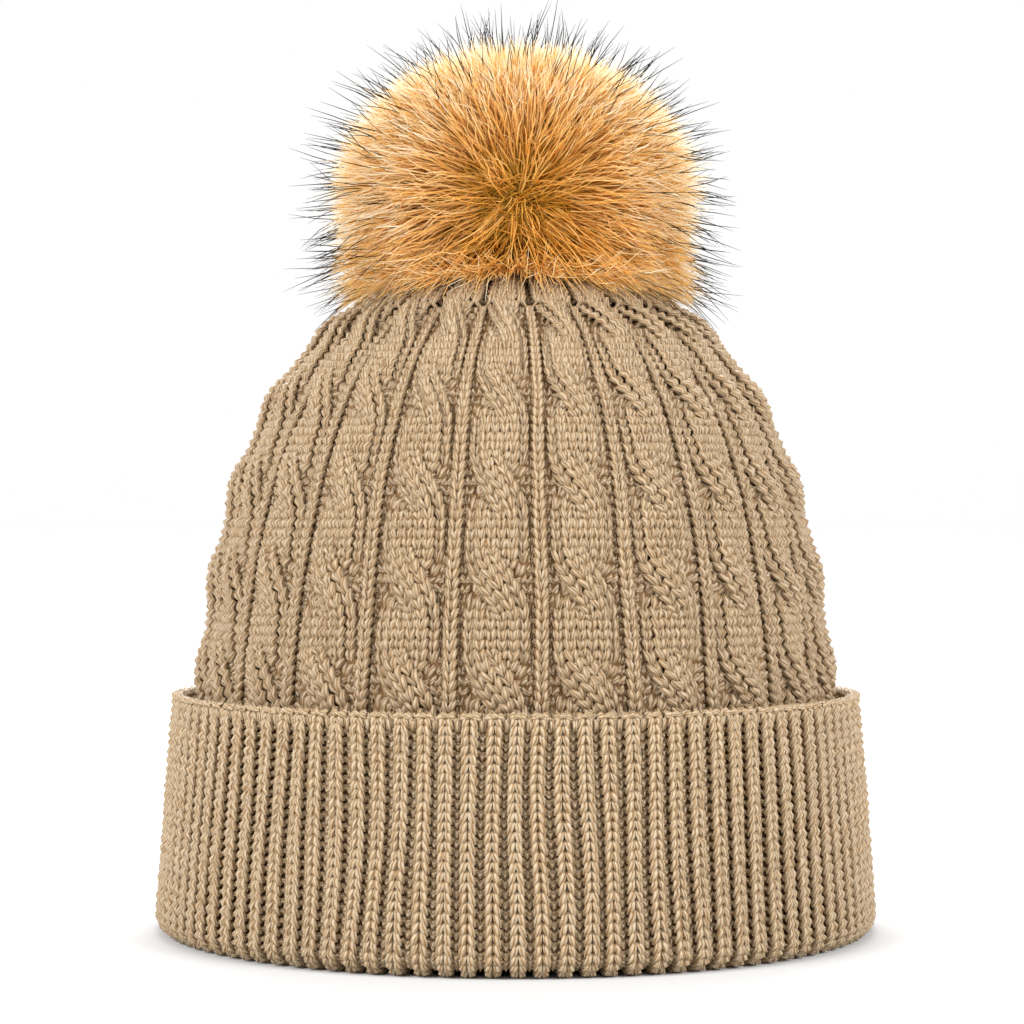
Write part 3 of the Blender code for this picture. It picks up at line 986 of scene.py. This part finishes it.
def splay(tip):
    """Pile that would grow into the crown is pressed outwards instead, like a skirt around the pom."""
    flat = np.hypot(tip[:, 0], tip[:, 1])
    slope = np.arctan2(tip[:, 2], flat)
    lowest = rng.uniform(-0.80, -0.42, len(tip))
    slope = np.maximum(slope, lowest)
    outward = np.cos(slope) / np.maximum(flat, 1e-6)
    return np.stack([tip[:, 0] * outward, tip[:, 1] * outward, np.sin(slope)], axis=1)


def strands(way, reach, spread, clumps, pull, bend, steps):
    """Hairs from the backing outwards. Tips lean into tufts and rest on the crown where it is in the way."""
    count = len(way)
    tufts = directions(clumps)
    tuft = tufts[np.argmax(way @ tufts.T, axis=1)]
    combed, short = comb(way)
    combed_tuft, _ = comb(tuft)
    length = short * rng.normal(reach, spread, count)
    length *= np.where(way[:, 2] < -0.35, rng.uniform(0.94, 1.14, count), 1.0)
    curl = rng.normal(0, bend, (count, 3))
    tip = combed + (combed_tuft - combed) * pull
    tip[:, 2] -= 0.05
    tip = splay(tip / np.linalg.norm(tip, axis=1)[:, None])
    lines = np.zeros((count, steps, 3))
    for k, t in enumerate(np.linspace(0, 1, steps)):
        aim = mix(way, tip, t**0.8) + curl * t * t
        aim /= np.linalg.norm(aim, axis=1)[:, None]
        out = mix(0.66, length, t) * pom_reach(aim)
        lines[:, k] = POM_CENTRE + aim * out[:, None]
    flat = np.hypot(lines[..., 0], lines[..., 1])
    under = lines[..., 2] < stuffing_low.z
    wider = np.where(under, np.maximum(flat, 17 * MM) / np.maximum(flat, 1e-6), 1.0)
    lines[..., :2] *= wider[..., None]
    rest = crown_height(flat * wider) + (0.8 + 1.8 * rng.random(count)[:, None]) * MM
    lines[..., 2] += np.maximum(rest - lines[..., 2], 0)
    return lines


def near_parting(count, axis, spread):
    axis = np.array(axis) / np.linalg.norm(axis)
    made = axis + rng.normal(0, spread, (count, 3))
    return made / np.linalg.norm(made, axis=1)[:, None]


# Dye with painted light: dark deep in the pile is partly painted shade, and the near-white tips are partly a
# painted glow
UNDERFUR_DYE_SHADE_AND_GLOW = (
    ((0.55, "#7C4C0A"), (0.67, "#E2AE46"), (0.82, "#FBDD9E"), (0.95, "#FFF6E2")),
    ((0.55, "#704408"), (0.69, "#DAA33C"), (0.84, "#F6D490"), (0.97, "#FFF1D6")),
    ((0.53, "#8E5E12"), (0.65, "#EEC25A"), (0.80, "#FEE8B2"), (0.93, "#FFFAEC")),
)
GUARD_COLOURS = ((0.74, "#F2C468"), (0.92, "#F6D898"), (0.98, "#5A4430"), (1.02, "#100A06"))
# The fur's backing among the roots: dye and painted shade, darkest deepest
GROUND_DYE_AND_SHADE = ((0.48, "#3E2402"), (0.58, "#7A4C0A"), (0.70, "#C8923A"), (0.80, "#E0AE54"))


def make_fur():
    """Dense underfur with pale tips, partly dye and partly a painted glow, short curls in the partings, and
    sparse dark-tipped guard hairs.
    """
    made = []
    for k, colours in enumerate(UNDERFUR_DYE_SHADE_AND_GLOW):
        lines = strands(directions(7200), 0.925, 0.045, 520, 0.5, 0.055, 4)
        radius = np.array([0.28, 0.24, 0.16, 0.03]) * MM
        paint = fur_material(f"acrylic_pile_fibre_{k + 1}", colours)
        made.append(tubes(f"pom_underfur_{k + 1}", list(lines), [radius] * len(lines), 3, False, paint))
    curls = [strands(near_parting(420, axis, 0.13), 0.86, 0.06, 900, 0.2, 0.22, 5) for axis, _, _ in PARTINGS]
    radius = np.array([0.26, 0.24, 0.21, 0.16, 0.05]) * MM
    lines = np.concatenate(curls)
    paint = made[1].data.materials[0]
    made.append(tubes("pom_parting_curls", list(lines), [radius] * len(lines), 3, False, paint))
    way = directions(1450)
    low = directions(2800)
    low = low[(low[:, 2] < -0.26) & (low[:, 2] > -0.58)]
    way = np.concatenate([way[(way[:, 2] > -0.5) | (rng.random(len(way)) < 0.12)], low])
    lines = strands(way, 1.11, 0.05, 420, 0.6, 0.05, 5)
    radius = np.array([0.16, 0.16, 0.15, 0.13, 0.03]) * MM
    paint = fur_material("dark_tipped_guard_hair", GUARD_COLOURS)
    made.append(tubes("pom_guard_hairs", list(lines), [radius] * len(lines), 3, False, paint))
    return made


def pom_inside(name, share, paint):
    """An egg shape that follows the pile's roots, dimpled at the partings."""
    shape = bmesh.new()
    bmesh.ops.create_uvsphere(shape, u_segments=96, v_segments=48, radius=1.0)
    way = np.array([point.co for point in shape.verts])
    _, short = comb(way)
    reach = pom_reach(way) * (0.42 + 0.30 * short) * share
    spots = POM_CENTRE + way * reach[:, None]
    for point, spot in zip(shape.verts, spots):
        point.co = (spot[0], spot[1], max(spot[2], stuffing_low.z + (1.5 * MM if share < 1 else 0)))
    return finished(name, shape, paint)


# ---------------------------------------------------------------- the snap's stud


def make_stud(material):
    """Male half of the snap: a pressed flange and a rounded button with a neck under it."""
    low, high = stud_low.z, stud_high.z
    flange = stud_high.x
    rim = arc((flange - 0.4 * MM, low + 0.4 * MM), 0.4 * MM, -90, 90, 9)
    neck = [(3.5 * MM, low + 0.8 * MM), (3.05 * MM, low + 1.05 * MM), (2.9 * MM, low + 1.5 * MM)]
    button = arc((2.55 * MM, high - 0.95 * MM), 0.85 * MM, -35, 90, 14)
    inside = [(2.3 * MM, high - 0.35 * MM), (2.3 * MM, low)]
    return turned("stud_button", rim + neck + button + inside, material, steps=96)


# ---------------------------------------------------------------- putting it together


def placed(piece, body, node=None):
    """Put a piece on its body, and hide the plain solid that it stands for."""
    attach(piece, body)
    if node:
        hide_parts(node)
    return piece


def placed_together(pieces, body, node):
    """Several pieces that stand for one plain solid."""
    for piece in pieces:
        placed(piece, body)
    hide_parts(node)


knit_gap_shade = gap_shade_material()
placed_together([*make_crown(), make_crown_gap_shade(knit_gap_shade)], "hat", "cable_knit_crown")
placed_together([*make_cuff(), make_cuff_gap_shade(knit_gap_shade)], "hat", "rib_turn_up")

fur_pieces = make_fur()
fur_pieces.append(pom_inside("pom_fur_ground", 1.0, fur_material("knitted_fur_backing", GROUND_DYE_AND_SHADE)))
placed_together(fur_pieces, "pom", "pom_fur_cover")
loose_fibre = felted_material(
    "polyester_fibre_filling", 1.2 * MM, ((0.3, "#DAD6CE"), (0.7, "#F4F1EA")), Roughness=0.9
)
filling = placed(pom_inside("pom_filling", 0.93, loose_fibre), "pom", "pom_stuffing")

placed(make_band(rib_knit_material()), "hat", "rib_band")

fleece = fleece_material()
thread = thread_material()
earband = placed(make_earband(fleece), "hat", "fleece_earband")
for k, z in enumerate((earband_low.z + 3 * MM, earband_high.z - 3 * MM)):
    ring = running_stitch(f"earband_stitches_{k + 1}", inside_band(z) - 1.95 * MM, z, 150, 0.24 * MM, thread)
    placed(ring, "hat")
for corner, gore in make_gores(fleece).items():
    placed(gore, "hat", f"lining_{corner}")

felt = felted_material(
    "pressed_wool_felt", 0.6 * MM, ((0.3, "#5E4426"), (0.7, "#846441")), Roughness=0.95, Sheen_Weight=0.4
)
for name, (low, high), hole, cloth, body, slot, node in (
    ("lining_patch_disc", (patch_low, patch_high), 0.2 * MM, fleece, "hat", "fleece", "lining_top_patch"),
    ("felt_washer", (felt_low, felt_high), 2.4 * MM, felt, "hat", "felt", "crown_felt_disc"),
    ("felt_base", (base_low, base_high), 1.5 * MM, felt, "pom_snap", "felt", "pom_base_disc"),
):
    placed(make_disc(name, high.x, low.z, high.z, hole, cloth), body, node)

label = placed(make_label(satin_material()), "label", "care_label")
placed(make_bartack(thread), "hat", "label_bartack")
gathered = make_ring_of_thread("gather_thread", gather_low, gather_high, 0.55 * MM, 14, thread)
placed(gathered, "hat", "crown_gather_thread")
drawn = make_ring_of_thread("drawn_thread", drawn_low, drawn_high, 0.45 * MM, 16, thread)
placed(drawn, "pom", "pom_drawstring")

# The snap's other metal parts are kept from the frame
nickel = metal_material("pressed_nickel_plate", ((0.3, "#A9A59C"), (0.7, "#D9D6CE")), 1.2 * MM)
spring = metal_material("drawn_spring_wire", ((0.3, "#8E9094"), (0.7, "#C4C6CA")), 0.5 * MM)
for node, metal in (
    ("snap_post", nickel),
    ("snap_socket", nickel),
    ("snap_rivet_cap", nickel),
    ("socket_spring", spring),
):
    for part_slot in bpy.data.objects[node].material_slots:
        part_slot.material = metal
placed(make_stud(nickel), "hat", "snap_stud")

# ---------------------------------------------------------------- floor, light and camera


def make_floor(size):
    shape = bmesh.new()
    bmesh.ops.create_grid(shape, x_segments=1, y_segments=1, size=size)
    return finished("studio_floor", shape, sweep_material())


def area_light(name, place, target, size, power):
    data = bpy.data.lights.new(name, "AREA")
    data.shape = "DISK"
    data.size = size
    data.energy = power
    made = bpy.data.objects.new(name, data)
    made.location = place
    made.rotation_euler = (Vector(target) - Vector(place)).to_track_quat("-Z", "Y").to_euler()
    bpy.context.scene.collection.objects.link(made)


make_floor(40.0)

area_light("left", (-1.05, -0.9, 0.85), (0, 0, 0.11), 0.9, 27.0)
area_light("right", (1.1, -0.85, 0.85), (0, 0, 0.11), 0.9, 24.0)
area_light("back", (0.0, 0.7, 0.95), (0, 0, 0.2), 0.9, 17.0)

world = bpy.data.worlds.new("studio")
bpy.context.scene.world = world
world.use_nodes = True
world.node_tree.nodes["Background"].inputs[0].default_value = (1.0, 1.0, 1.0, 1.0)
world.node_tree.nodes["Background"].inputs[1].default_value = 1.0
bpy.context.scene.view_settings.view_transform = "Standard"

camera_data = bpy.data.cameras.new("camera")
camera_data.sensor_width = 36.0
camera_data.lens = 104.0
camera_data.clip_end = 100.0
camera = bpy.data.objects.new("camera", camera_data)
camera.location = (-0.0011, -0.820, 0.1144)
camera.rotation_euler = (math.pi / 2, 0.0, 0.0)
bpy.context.scene.collection.objects.link(camera)
bpy.context.scene.camera = camera
